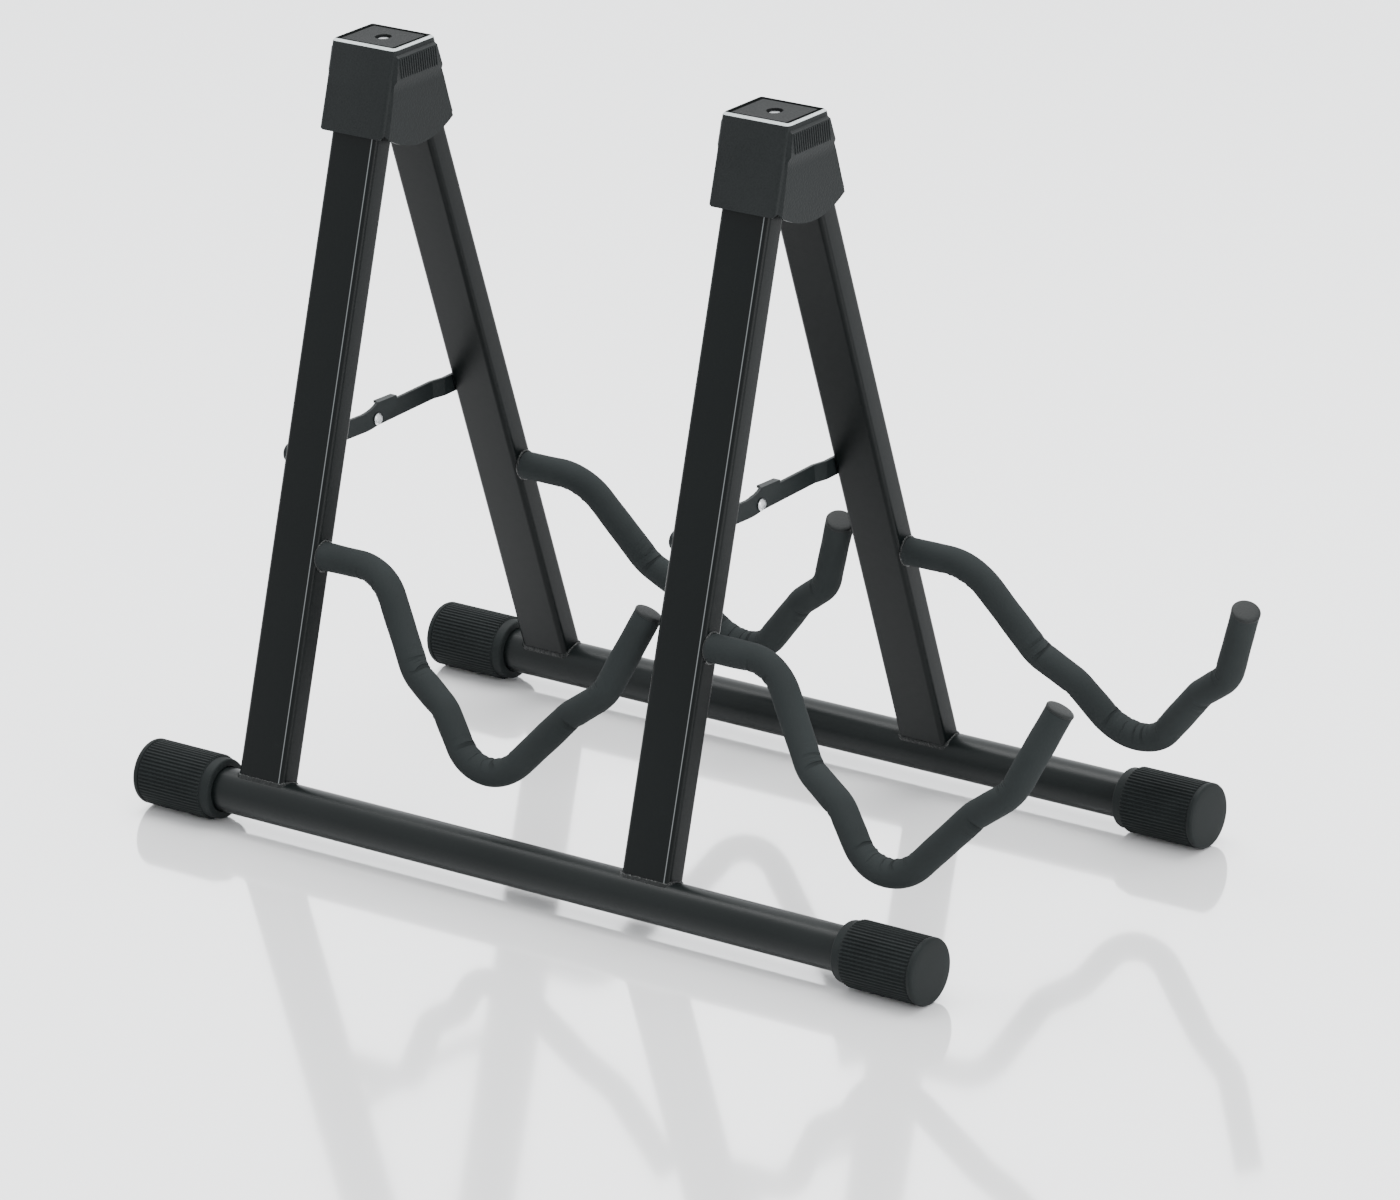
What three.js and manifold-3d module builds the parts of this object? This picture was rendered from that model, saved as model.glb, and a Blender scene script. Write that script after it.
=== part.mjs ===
// Folding double A-frame guitar rack.
// Millimetres, +Z up. X runs along the base tubes, and the arms point to +X.
// -Y is the front frame, +Y the rear frame. The origin lies on the floor, under the
// middle of the overall box.
import * as THREE from 'three';
import { mergeVertices } from 'three/addons/utils/BufferGeometryUtils.js';
import Module from 'manifold-3d';

const wasm = await Module();
wasm.setup();

// ---- Driving dimensions -------------------------------------------------------------
const GAP = 0.3;                  // room left between pieces that touch
const TUBE_R = 12.5;              // base tube, 25 mm
const TUBE_WALL = 1.5;
const BASE_HALF = 265;            // half the length of a base with its feet
const SPREAD = 129.6;             // base tube axis to the middle plane, opened
const LEAN = THREE.MathUtils.degToRad(17);
const FOOT_R = 18.5;
const FOOT_LENGTH = 53;
const FOOT_COLLAR_R = 16.8;
const FOOT_COLLAR = 6;            // length of the plain collar at the tube's side
const FOOT_WALL = 4;              // end wall of the foot
const FOOT_SIDES = 24;            // the foot stands on one of these narrow flats
const AXIS_Z = FOOT_R * Math.cos(Math.PI / FOOT_SIDES);   // base tube axis above the floor
const FRAME_X = { left: -184, right: 81 };
const LEG_W = 32;                 // along X
const LEG_D = 15;
const LEG_CORNER = 3.4;
const LEG_WALL = 1.5;
const PIN_Y = 18.7;               // head pin to the middle plane
const PIN_R = 3;
const PIN_S = (SPREAD - PIN_Y) / Math.sin(LEAN);   // base tube axis to head pin, along the leg
const LEG_END_R = 7.45;           // the leg's top is rounded about the pin
const ARM_S = 138.8;              // arm above the base tube axis, along the leg
const ROD_R = 4;
const SLEEVE_R = 8;
const SLEEVE_BORE = 5.8;
const PLUG_LIP = 2;
const BEND_STEPS = 34;             // rings along a bent arm
const LINK_S = 190.4;             // brace pivot, along the leg
const LINK_T = 2;
const LINK_HALF = 5.2;
const MID_DROP = 2;               // the brace's middle hangs this much under its ends
const RIVET_R = 2.5;              // shank of the rivets on the legs
const RIVET_HEAD_R = 4.3;
const MID_RIVET_R = 1.9;          // shank of the brace's middle rivet
const MID_HEAD_R = 3.4;
const HEAD = {
  top: 421.5, topHalf: 17.5,      // flat top
  low: 373.5, lowHalf: 31.7,      // lower edge of the front and rear walls
  dip: 364.6,                     // the side skirt's lowest point
  wall: 2.4, innerHalf: 19.7, ceiling: 413.5,
};

// Arm centre line beside the leg: distance from the leg's face, height above the base
// tube axis along the leg, and the bend radius at that corner.
const ARM = [
  [0.5, ARM_S, 0],
  [42, ARM_S, 30],
  [74, 88, 25],
  [97, 73, 25],
  [130, 30, 27],
  [180, 85.6, 25],
  [200.5, 101, 25],
  [221, 148, 0],
];

// ---- Finishes -------------------------------------------------------------------------
const finish = (color, roughness, metalness) => ({ color, roughness, metalness });
const GLOSS_PAINT = finish(0x131515, 0.28, 0.3);
const LEG_PAINT = finish(0x181b1b, 0.4, 0.3);
const FOAM = finish(0x1e2424, 0.95, 0);
const RUBBER = finish(0x141616, 0.85, 0);
const PLASTIC = finish(0x1c1f20, 0.55, 0);
const STEEL = finish(0xb8babb, 0.35, 1);

// ---- Helpers --------------------------------------------------------------------------
function solid(geometry) {
  const bare = geometry.clone();
  bare.deleteAttribute('normal');
  bare.deleteAttribute('uv');
  const merged = mergeVertices(bare, 1e-4);
  const index = merged.index.array;
  const faces = [];
  for (let i = 0; i < index.length; i += 3) {
    const [a, b, c] = [index[i], index[i + 1], index[i + 2]];
    if (a !== b && b !== c && c !== a) faces.push(a, b, c);
  }
  return new wasm.Manifold(new wasm.Mesh({
    numProp: 3,
    vertProperties: new Float32Array(merged.attributes.position.array),
    triVerts: new Uint32Array(faces),
  }));
}

function geometryOf(manifold) {
  const mesh = manifold.getMesh();
  const geometry = new THREE.BufferGeometry();
  geometry.setAttribute('position', new THREE.BufferAttribute(new Float32Array(mesh.vertProperties), 3));
  geometry.setIndex(new THREE.BufferAttribute(new Uint32Array(mesh.triVerts), 1));
  return geometry;
}

function cut(geometry, ...tools) {
  return geometryOf(tools.reduce((rest, tool) => rest.subtract(solid(tool)), solid(geometry)));
}

function addMesh(parent, name, geometry, look) {
  geometry.computeVertexNormals();
  const mesh = new THREE.Mesh(geometry, new THREE.MeshStandardMaterial(look));
  mesh.name = name;
  parent.add(mesh);
  return mesh;
}

// A round rod along X from x0 to x1.
function rodX(radius, x0, x1, sides = 24) {
  const rod = new THREE.CylinderGeometry(radius, radius, x1 - x0, sides);
  return rod.rotateZ(-Math.PI / 2).translate((x0 + x1) / 2, 0, 0);
}

// A turned piece about the X axis, from [x, radius] pairs that start and end on the axis
// or close on themselves.
function turned(profile, sides) {
  const points = profile.map(([x, r]) => new THREE.Vector2(r, x));
  return new THREE.LatheGeometry(points, sides).rotateZ(-Math.PI / 2);
}

// A flat outline in Y and Z, given thickness from x0 to x1.
function plateYZ(shape, x0, x1, curveSegments = 12) {
  const plate = new THREE.ExtrudeGeometry(shape, {
    depth: x1 - x0, bevelEnabled: false, curveSegments,
  });
  plate.rotateX(Math.PI / 2).rotateZ(Math.PI / 2);
  return plate.translate(x0, 0, 0);
}

function roundedRect(path, width, depth, radius) {
  const [w, d] = [width / 2, depth / 2];
  path.moveTo(-w + radius, -d);
  path.absarc(w - radius, -d + radius, radius, -Math.PI / 2, 0);
  path.absarc(w - radius, d - radius, radius, 0, Math.PI / 2);
  path.absarc(-w + radius, d - radius, radius, Math.PI / 2, Math.PI);
  path.absarc(-w + radius, -d + radius, radius, Math.PI, Math.PI * 1.5);
  return path;
}

function circle(path, x, y, radius) {
  path.absarc(x, y, radius, 0, Math.PI * 2);
  return path;
}

function polygon(path, radius, sides) {
  const points = [];
  for (let i = 0; i < sides; i += 1) {
    const angle = (i / sides) * Math.PI * 2;
    points.push(new THREE.Vector2(radius * Math.cos(angle), radius * Math.sin(angle)));
  }
  return path.setFromPoints(points);
}

// A bent centre line in the X-Z plane: straights joined by arcs of the given radii.
class BentLine extends THREE.Curve {
  constructor(corners) {
    super();
    const at = corners.map(([x, z]) => new THREE.Vector2(x, z));
    this.path = new THREE.Path();
    this.path.moveTo(at[0].x, at[0].y);
    for (let i = 1; i < at.length - 1; i += 1) {
      const radius = corners[i][2];
      const back = at[i - 1].clone().sub(at[i]).normalize();
      const ahead = at[i + 1].clone().sub(at[i]).normalize();
      const half = Math.acos(back.dot(ahead)) / 2;
      const start = at[i].clone().addScaledVector(back, radius / Math.tan(half));
      const end = at[i].clone().addScaledVector(ahead, radius / Math.tan(half));
      const middle = back.clone().add(ahead).setLength(radius / Math.sin(half)).add(at[i]);
      const clockwise = back.cross(ahead) > 0;
      this.path.lineTo(start.x, start.y);
      const [from, to] = [start.sub(middle).angle(), end.sub(middle).angle()];
      this.path.absarc(middle.x, middle.y, radius, from, to, clockwise);
    }
    this.path.lineTo(at.at(-1).x, at.at(-1).y);
  }

  getPoint(t, target = new THREE.Vector3()) {
    const point = this.path.getPoint(t);
    return target.set(point.x, 0, point.y);
  }
}

function bentBar(corners, radius, bore, sides, steps) {
  const section = polygon(new THREE.Shape(), radius, sides);
  if (bore) section.holes.push(polygon(new THREE.Path(), bore, 6));
  return new THREE.ExtrudeGeometry(section, {
    steps, extrudePath: new BentLine(corners), bevelEnabled: false,
  });
}

// ---- Base: tube and feet ----------------------------------------------------------------
function baseTube() {
  const end = BASE_HALF - FOOT_WALL - GAP;
  return turned([
    [-end, TUBE_R - TUBE_WALL], [-end, TUBE_R], [end, TUBE_R],
    [end, TUBE_R - TUBE_WALL], [-end, TUBE_R - TUBE_WALL],
  ], FOOT_SIDES);
}

// A rubber cap with its end wall at +X: collar, grip, rounded rim and a faintly domed end.
function foot() {
  const start = BASE_HALF - FOOT_LENGTH;
  const bore = TUBE_R + GAP;
  const cap = turned([
    [start, bore], [start, FOOT_COLLAR_R - 1], [start + 1, FOOT_COLLAR_R],
    [start + FOOT_COLLAR, FOOT_COLLAR_R], [start + FOOT_COLLAR, FOOT_R],
    [BASE_HALF - 3.5, FOOT_R], [BASE_HALF - 1, FOOT_R - 1.2], [BASE_HALF - 0.4, FOOT_R - 3],
    [BASE_HALF, 0], [BASE_HALF - FOOT_WALL, 0], [BASE_HALF - FOOT_WALL, bore], [start, bore],
  ], FOOT_SIDES);
  return cap.rotateX(Math.PI / FOOT_SIDES);
}

// ---- Leg: rectangular tube, coped on the base tube and rounded about the head pin --------
function leg() {
  const section = roundedRect(new THREE.Shape(), LEG_W, LEG_D, LEG_CORNER);
  section.holes.push(roundedRect(new THREE.Path(), LEG_W - 2 * LEG_WALL, LEG_D - 2 * LEG_WALL,
    LEG_CORNER - LEG_WALL));
  const top = PIN_S + LEG_END_R;
  const tube = new THREE.ExtrudeGeometry(section, { depth: top, bevelEnabled: false, curveSegments: 3 });
  const rounding = plateYZ(new THREE.Shape([
    new THREE.Vector2(-LEG_D, PIN_S), new THREE.Vector2(LEG_D, PIN_S),
    new THREE.Vector2(LEG_D, top + 1), new THREE.Vector2(-LEG_D, top + 1),
  ]), -LEG_W, LEG_W);
  const end = rodX(LEG_END_R, -LEG_W, LEG_W).translate(0, 0, PIN_S);
  return cut(tube,
    rodX(TUBE_R + GAP, -LEG_W, LEG_W, 24),
    geometryOf(solid(rounding).subtract(solid(end))),
    rodX(PIN_R + GAP, -LEG_W, LEG_W, 12).translate(0, 0, PIN_S),
    rodX(ROD_R + GAP, 0, LEG_W, 12).translate(0, 0, ARM_S),
    rodX(RIVET_R + GAP, -LEG_W, 0, 12).translate(0, 0, LINK_S));
}

// ---- Arm: bent steel rod, foam sleeve and end plug ----------------------------------------
const tip = new THREE.Vector2(...ARM.at(-1));
const tipWay = tip.clone().sub(new THREE.Vector2(...ARM.at(-2))).normalize();

function armRod() {
  const corners = ARM.map((corner) => [...corner]);
  corners[0][0] = -9;
  const end = tip.clone().addScaledVector(tipWay, -12);
  corners.at(-1).splice(0, 2, end.x, end.y);
  return bentBar(corners, ROD_R, 0, 6, BEND_STEPS);
}

function armSleeve() {
  return bentBar(ARM, SLEEVE_R, SLEEVE_BORE, 8, BEND_STEPS);
}

function armPlug() {
  const plug = turned([
    [-8, 0], [-8, 3.6], [GAP, 3.6], [GAP, SLEEVE_R], [1.4, SLEEVE_R], [PLUG_LIP, SLEEVE_R - 1.4],
    [PLUG_LIP + 0.3, 0],
  ], 12);
  plug.rotateY(-Math.atan2(tipWay.y, tipWay.x));
  return plug.translate(tip.x, 0, tip.y);
}

// ---- Folding brace: two flat links on the legs' -X faces ----------------------------------
const pivotY = SPREAD - LINK_S * Math.sin(LEAN);
const pivotZ = AXIS_Z + LINK_S * Math.cos(LEAN);
const linkLength = Math.hypot(pivotY, MID_DROP);
const linkSlope = Math.atan2(MID_DROP, pivotY);
const LINK_IN = -LEG_W / 2 - GAP;         // the face next to the leg
const LINK_OUT = LINK_IN - LINK_T;
const STEP = LINK_T + GAP;                // the rear link steps out past the front one

// Both links are drawn along +Y, from their leg's pivot to the middle rivet.
function linkHoles(shape) {
  shape.holes.push(circle(new THREE.Path(), 0, 0, RIVET_R + GAP));
  shape.holes.push(circle(new THREE.Path(), linkLength, 0, MID_RIVET_R + GAP));
  return shape;
}

// The front link narrows to the rivet from below, and rises behind it into the stop tab.
function frontLink() {
  const shape = new THREE.Shape();
  const end = linkLength + 17.5;
  const [tabStart, tabTop, tabThick] = [linkLength + 1, 9.3, 1.4];
  const shoulder = linkLength - 12;
  shape.absarc(0, 0, LINK_HALF, Math.PI / 2, Math.PI * 1.5);
  shape.lineTo(shoulder, -LINK_HALF);
  shape.quadraticCurveTo(linkLength - 4, -LINK_HALF, linkLength + 1, -3.6);
  shape.quadraticCurveTo(linkLength + 9, -2, end, 3);
  shape.lineTo(end, tabTop);
  shape.lineTo(tabStart, tabTop);
  shape.quadraticCurveTo(linkLength - 3, 6, shoulder, LINK_HALF);
  // The tab is bent out over the rear link, whose top edge it stops. It begins where the
  // rear link's round end swings clear of it.
  const reach = LINK_T + STEP + GAP;
  const bend = tabStart + 1.4;
  const tab = new THREE.BoxGeometry(reach, end - bend, tabThick);
  tab.translate(LINK_IN - reach / 2, (end + bend) / 2, tabTop - tabThick / 2);
  return geometryOf(solid(plateYZ(linkHoles(shape), LINK_OUT, LINK_IN, 8)).add(solid(tab)));
}

function rearLink() {
  const end = linkLength + 8;
  const [stepStart, stepEnd] = [14, 22];
  const shape = new THREE.Shape();
  shape.absarc(0, 0, LINK_HALF, Math.PI / 2, Math.PI * 1.5);
  shape.absarc(end - LINK_HALF, 0, LINK_HALF, -Math.PI / 2, Math.PI / 2);
  const strip = new THREE.ExtrudeGeometry(new THREE.Shape([
    new THREE.Vector2(LINK_OUT, -10), new THREE.Vector2(LINK_IN, -10),
    new THREE.Vector2(LINK_IN, stepStart), new THREE.Vector2(LINK_IN - STEP, stepEnd),
    new THREE.Vector2(LINK_IN - STEP, end + 5), new THREE.Vector2(LINK_OUT - STEP, end + 5),
    new THREE.Vector2(LINK_OUT - STEP, stepEnd), new THREE.Vector2(LINK_OUT, stepStart),
  ]), { depth: 20, bevelEnabled: false }).translate(0, 0, -10);
  const outline = plateYZ(linkHoles(shape), LINK_OUT - 10, LINK_IN + 10, 8);
  return geometryOf(solid(strip).intersect(solid(outline)));
}

// Rivet that holds a link on its leg: domed head outside, flat tail inside the tube.
function legRivet() {
  const inside = -LEG_W / 2 + LEG_WALL + GAP;
  const head = LINK_OUT - GAP;
  return turned([
    [head - 1.8, 0], [head - 1.5, 2.2], [head - 0.7, RIVET_HEAD_R - 0.5], [head, RIVET_HEAD_R],
    [head, RIVET_R],
    [inside, RIVET_R], [inside, 4.2], [inside + 1.4, 4.2], [inside + 1.4, 0],
  ], 10);
}

// The middle rivet's two halves: a domed head on the front link, and a flat tail on the
// rear link. The pivot is left open between them.
function midRivetHead() {
  const seat = LINK_IN + GAP;
  return turned([
    [LINK_OUT, 0], [LINK_OUT, MID_RIVET_R], [seat, MID_RIVET_R], [seat, MID_HEAD_R],
    [seat + 0.6, MID_HEAD_R], [seat + 1.3, MID_HEAD_R - 0.8], [seat + 1.7, 1.5], [seat + 1.8, 0],
  ], 16);
}

function midRivetTail() {
  const seat = LINK_OUT - STEP - GAP;
  return turned([
    [seat - 1.2, 0], [seat - 1.2, MID_HEAD_R - 1], [seat - 0.6, MID_HEAD_R], [seat, MID_HEAD_R],
    [seat, MID_RIVET_R], [LINK_OUT - GAP, MID_RIVET_R], [LINK_OUT - GAP, 0],
  ], 12);
}

// ---- Head: plastic cap, steel bracket, top pad, cap screw and two leg pins ------------------
const pinZ = AXIS_Z + PIN_S * Math.cos(LEAN);
const capTaper = (HEAD.lowHalf - HEAD.topHalf) / (HEAD.top - HEAD.low);
const capHalfAt = (z) => HEAD.topHalf + (HEAD.top - z) * capTaper;

function capOutline() {
  const shape = new THREE.Shape();
  shape.moveTo(HEAD.topHalf, HEAD.top);
  shape.lineTo(-HEAD.topHalf, HEAD.top);
  shape.lineTo(-HEAD.lowHalf, HEAD.low);
  shape.quadraticCurveTo(0, 2 * HEAD.dip - HEAD.low, HEAD.lowHalf, HEAD.low);
  shape.closePath();
  return shape;
}

// The cap's side, seen from the front: grip band, step and flared skirt.
function capSides() {
  const half = [
    [20, HEAD.top + 1], [20, HEAD.top], [22.2, HEAD.top - 2.2], [23.9, 416.4], [25.2, 404.4],
    [23.4, 401.8], [24, 366], [24, 360],
  ];
  const right = half.map(([x, z]) => new THREE.Vector2(x, z));
  const left = half.map(([x, z]) => new THREE.Vector2(-x, z)).reverse();
  const block = new THREE.ExtrudeGeometry(new THREE.Shape([...right, ...left]), {
    depth: 100, bevelEnabled: false,
  });
  return block.rotateX(Math.PI / 2).translate(0, 50, 0);
}

function headCap() {
  const [roof, floor] = [HEAD.ceiling, HEAD.dip - 5];
  const cavity = plateYZ(new THREE.Shape([
    new THREE.Vector2(capHalfAt(roof) - HEAD.wall, roof),
    new THREE.Vector2(-capHalfAt(roof) + HEAD.wall, roof),
    new THREE.Vector2(-capHalfAt(floor) + HEAD.wall, floor),
    new THREE.Vector2(capHalfAt(floor) - HEAD.wall, floor),
  ]), -HEAD.innerHalf, HEAD.innerHalf);
  const outer = solid(plateYZ(capOutline(), -30, 30, 10)).intersect(solid(capSides()));
  const recess = new THREE.BoxGeometry(36.6, 28.6, 3).translate(0, 0, HEAD.top);
  const counterbore = new THREE.CylinderGeometry(4.8, 4.8, 8, 20).rotateX(Math.PI / 2);
  counterbore.translate(0, 0, HEAD.top);
  const screwHole = new THREE.CylinderGeometry(2.3, 2.3, 30, 16).rotateX(Math.PI / 2);
  screwHole.translate(0, 0, HEAD.top - 5);
  return cut(geometryOf(outer), cavity, recess, counterbore, screwHole);
}

function topPad() {
  const shape = roundedRect(new THREE.Shape(), 36, 28, 1);
  shape.holes.push(circle(new THREE.Path(), 0, 0, 4.8));
  const pad = new THREE.ExtrudeGeometry(shape, { depth: 0.9, bevelEnabled: false, curveSegments: 5 });
  return pad.translate(0, 0, HEAD.top - 1.2);
}

function capScrew() {
  const seat = HEAD.top - 4 + GAP;
  const screw = new THREE.LatheGeometry([
    [0, seat - 12], [2, seat - 12], [2, seat], [4.2, seat], [4.2, seat + 1.2], [3, seat + 2.2],
    [0, seat + 2.4],
  ].map(([r, z]) => new THREE.Vector2(r, z)), 12);
  return screw.rotateX(Math.PI / 2);
}

// An inverted channel whose side plates hold the leg pins.
function headBracket() {
  const roof = HEAD.ceiling - GAP;
  const [inner, outer] = [LEG_W / 2 + 0.4, LEG_W / 2 + 2];
  const side = new THREE.Shape([
    new THREE.Vector2(17, roof), new THREE.Vector2(-17, roof), new THREE.Vector2(-26.5, 377),
    new THREE.Vector2(-22, 373), new THREE.Vector2(22, 373), new THREE.Vector2(26.5, 377),
  ]);
  const inside = new THREE.BoxGeometry(2 * inner, 80, 60).translate(0, 0, roof - 2 - 30);
  const hole = new THREE.CylinderGeometry(2.3, 2.3, 10, 16).rotateX(Math.PI / 2).translate(0, 0, roof);
  const pins = [-PIN_Y, PIN_Y].map((y) => rodX(PIN_R + GAP, -30, 30, 12).translate(0, y, pinZ));
  return cut(plateYZ(side, -outer, outer), inside, hole, ...pins);
}

function headPin() {
  const plate = LEG_W / 2 + 2 + GAP;
  const half = [[0, PIN_R], [plate, PIN_R], [plate, 5], [plate + 0.6, 5], [plate + 1.1, 4], [plate + 1.1, 0]];
  const mirrored = half.slice(1).reverse().map(([x, r]) => [-x, r]);
  return turned([...mirrored, ...half.slice(1)], 12);
}

// ---- Assembly -----------------------------------------------------------------------------
const rack = new THREE.Group();

for (const [frame, side] of [['front', -1], ['rear', 1]]) {
  const base = new THREE.Group();
  base.position.set(0, side * SPREAD, AXIS_Z);
  rack.add(base);
  addMesh(base, `${frame}_base_tube`, baseTube(), GLOSS_PAINT);
  addMesh(base, `foot_${frame}_right`, foot(), RUBBER);
  addMesh(base, `foot_${frame}_left`, foot(), RUBBER).rotation.z = Math.PI;

  for (const [stand, x] of Object.entries(FRAME_X)) {
    const upright = new THREE.Group();
    upright.position.x = x;
    upright.rotation.x = side * LEAN;
    base.add(upright);
    addMesh(upright, `${frame}_leg_${stand}`, leg(), LEG_PAINT);
    const arm = new THREE.Group();
    arm.position.x = LEG_W / 2;
    upright.add(arm);
    addMesh(arm, `arm_rod_${frame}_${stand}`, armRod(), LEG_PAINT);
    addMesh(arm, `foam_sleeve_${frame}_${stand}`, armSleeve(), FOAM);
    addMesh(arm, `arm_plug_${frame}_${stand}`, armPlug(), PLASTIC);
    addMesh(upright, `brace_rivet_${frame}_${stand}`, legRivet(), STEEL).position.z = LINK_S;
  }
}

for (const [stand, x] of Object.entries(FRAME_X)) {
  const middle = new THREE.Group();
  middle.position.set(x, 0, pivotZ - MID_DROP);
  rack.add(middle);
  addMesh(middle, `mid_rivet_head_${stand}`, midRivetHead(), STEEL);
  addMesh(middle, `mid_rivet_tail_${stand}`, midRivetTail(), STEEL);

  const front = addMesh(rack, `brace_link_front_${stand}`, frontLink(), LEG_PAINT);
  front.position.set(x, -pivotY, pivotZ);
  front.rotation.x = -linkSlope;
  const rear = addMesh(rack, `brace_link_rear_${stand}`, rearLink(), LEG_PAINT);
  rear.position.set(x, pivotY, pivotZ);
  rear.rotation.x = Math.PI + linkSlope;

  const head = new THREE.Group();
  head.position.x = x;
  rack.add(head);
  addMesh(head, `head_cap_${stand}`, headCap(), PLASTIC);
  addMesh(head, `head_bracket_${stand}`, headBracket(), STEEL);
  addMesh(head, `top_pad_${stand}`, topPad(), RUBBER);
  addMesh(head, `cap_screw_${stand}`, capScrew(), STEEL);
  addMesh(head, `head_pin_front_${stand}`, headPin(), STEEL).position.set(0, -PIN_Y, pinZ);
  addMesh(head, `head_pin_rear_${stand}`, headPin(), STEEL).position.set(0, PIN_Y, pinZ);
}

rack.updateMatrixWorld(true);
const box = new THREE.Box3().setFromObject(rack, true);
rack.position.x = -(box.min.x + box.max.x) / 2;

export default rack;
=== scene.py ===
# %% [markdown] # A folding guitar rack Two A-frames share a pair of base tubes. Each
# leg carries a bent arm in a foam sleeve, a plastic cap hinges the leg tops, and a pair
# of flat links keeps each A open.

# %% Load the frame
from math import acos, atan2, cos, pi, radians, sin, tan

import bmesh
import bpy
from mathutils import Matrix, Vector


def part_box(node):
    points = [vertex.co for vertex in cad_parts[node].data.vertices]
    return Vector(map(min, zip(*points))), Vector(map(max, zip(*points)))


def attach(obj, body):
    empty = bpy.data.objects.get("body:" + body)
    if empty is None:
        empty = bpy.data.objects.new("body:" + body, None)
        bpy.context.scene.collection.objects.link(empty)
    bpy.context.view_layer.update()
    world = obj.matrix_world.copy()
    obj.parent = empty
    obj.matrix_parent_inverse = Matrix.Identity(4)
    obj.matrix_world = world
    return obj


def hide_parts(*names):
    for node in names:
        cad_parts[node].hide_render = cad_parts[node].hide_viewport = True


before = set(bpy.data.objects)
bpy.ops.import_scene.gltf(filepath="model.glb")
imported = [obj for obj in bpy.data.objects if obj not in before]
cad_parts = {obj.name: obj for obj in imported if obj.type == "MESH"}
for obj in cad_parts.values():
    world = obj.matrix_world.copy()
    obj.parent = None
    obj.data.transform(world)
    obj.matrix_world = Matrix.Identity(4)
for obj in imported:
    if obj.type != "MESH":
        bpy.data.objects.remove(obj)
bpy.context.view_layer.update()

# %% [markdown]
# The few sizes that several pieces share, in millimetres as on a drawing. Blender
# works in metres, so `MM` turns one into the other. The left and right stands are
# found from the caps, so they stay where the model puts them.

# %% Sizes
MM = 0.001
TUBE_R, TUBE_WALL, TUBE_HALF = 12.5, 1.5, 260.6
SPREAD = 129.6                             # base tube to the middle plane
LEAN = radians(17)
FOOT_R, FOOT_LENGTH, BASE_HALF = 18.5, 53.0, 265.0
FOOT_SIDES = 24                            # the engineering foot stands on one of these flats
LEG_W, LEG_D = 32.0, 15.0                  # a leg's width along the rack, and its depth
PIN_Y = 18.7                               # head pin to the middle plane
PIN_S = (SPREAD - PIN_Y) / sin(LEAN)       # base tube to head pin, along the leg
AXIS_Z = FOOT_R * cos(pi / FOOT_SIDES)     # base tube above the floor


def middle(node, axis):
    low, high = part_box(node)
    return (low[axis] + high[axis]) / 2 / MM


STAND_X = {side: middle(f"head_cap_{side}", 0) for side in ("left", "right")}
BASE_X = middle("front_base_tube", 0)
SIDES = {"front": -1, "rear": 1}
print("stands at", {k: round(v, 1) for k, v in STAND_X.items()}, "base middle", round(BASE_X, 1))

# %% [markdown]
# The camera stands well back with a long lens, a little above and to the front
# right, so the A-frames keep their lines nearly parallel. A camera looks down its
# own -Z axis, so its rotation is built from its right, up and backward directions.

# %% Camera
azimuth, elevation, roll = 0.6568, 0.352, -0.0309
back = Vector((sin(azimuth) * cos(elevation), -cos(azimuth) * cos(elevation), sin(elevation)))
level = Vector((cos(azimuth), sin(azimuth), 0))
upright = back.cross(level)
right = cos(roll) * level + sin(roll) * upright
up = -sin(roll) * level + cos(roll) * upright
aside, above, away = 13.74, 105.73, 4493.77
where = Vector((BASE_X, 0, AXIS_Z)) + aside * right + above * up + away * back

camera = bpy.data.objects.new("camera", bpy.data.cameras.new("camera"))
bpy.context.scene.collection.objects.link(camera)
camera.data.lens = 210.9
camera.data.sensor_width = 36
camera.data.clip_end = 50
turn = Matrix((right, up, back)).transposed().to_4x4()
camera.matrix_world = Matrix.Translation(where * MM) @ turn
bpy.context.scene.camera = camera
print("camera at", [round(c, 3) for c in camera.location])

# %% [markdown]
# Black paint shows only what it reflects. So the studio is mostly light: a bright
# even room, one wide lamp overhead that draws the line along each tube, and a softer
# one at the arms' end that lifts the legs' sides.

# %% Light
world = bpy.data.worlds.new("studio")
bpy.context.scene.world = world
world.use_nodes = True
room = world.node_tree.nodes["Background"]
room.inputs["Color"].default_value = (0.97, 0.985, 1.0, 1)
room.inputs["Strength"].default_value = 2.4


def soft_lamp(name, place, target, size, power):
    lamp = bpy.data.lights.new(name, "AREA")
    lamp.shape = "RECTANGLE"
    lamp.size, lamp.size_y = size
    lamp.energy = power
    holder = bpy.data.objects.new(name, lamp)
    bpy.context.scene.collection.objects.link(holder)
    holder.location = place
    aim = Vector(target) - Vector(place)
    holder.rotation_euler = aim.to_track_quat("-Z", "Y").to_euler()


soft_lamp("overhead", (-0.3, 0.5, 2.4), (0, 0, 0), (2.6, 1.8), 150)
soft_lamp("fill", (2.7, -0.5, 0.9), (0, 0, 0.2), (1.6, 1.4), 60)

# %% [markdown]
# A finish is a graph of nodes. Written as expressions it stays readable, so `Flow`
# wraps one socket and gives it plus, minus and times. `Finish` holds one material
# and has a single method that makes any other node.

# %% Shader expressions
class Flow:
    def __init__(self, finish, socket):
        self.finish = finish
        self.socket = socket

    def _math(self, operation, a, b):
        return self.finish.node("Math", {"operation": operation}, {0: a, 1: b})

    def __add__(self, other):
        return self._math("ADD", self, other)

    def __radd__(self, other):
        return self._math("ADD", other, self)

    def __sub__(self, other):
        return self._math("SUBTRACT", self, other)

    def __rsub__(self, other):
        return self._math("SUBTRACT", other, self)

    def __mul__(self, other):
        return self._math("MULTIPLY", self, other)

    def __rmul__(self, other):
        return self._math("MULTIPLY", other, self)


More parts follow.
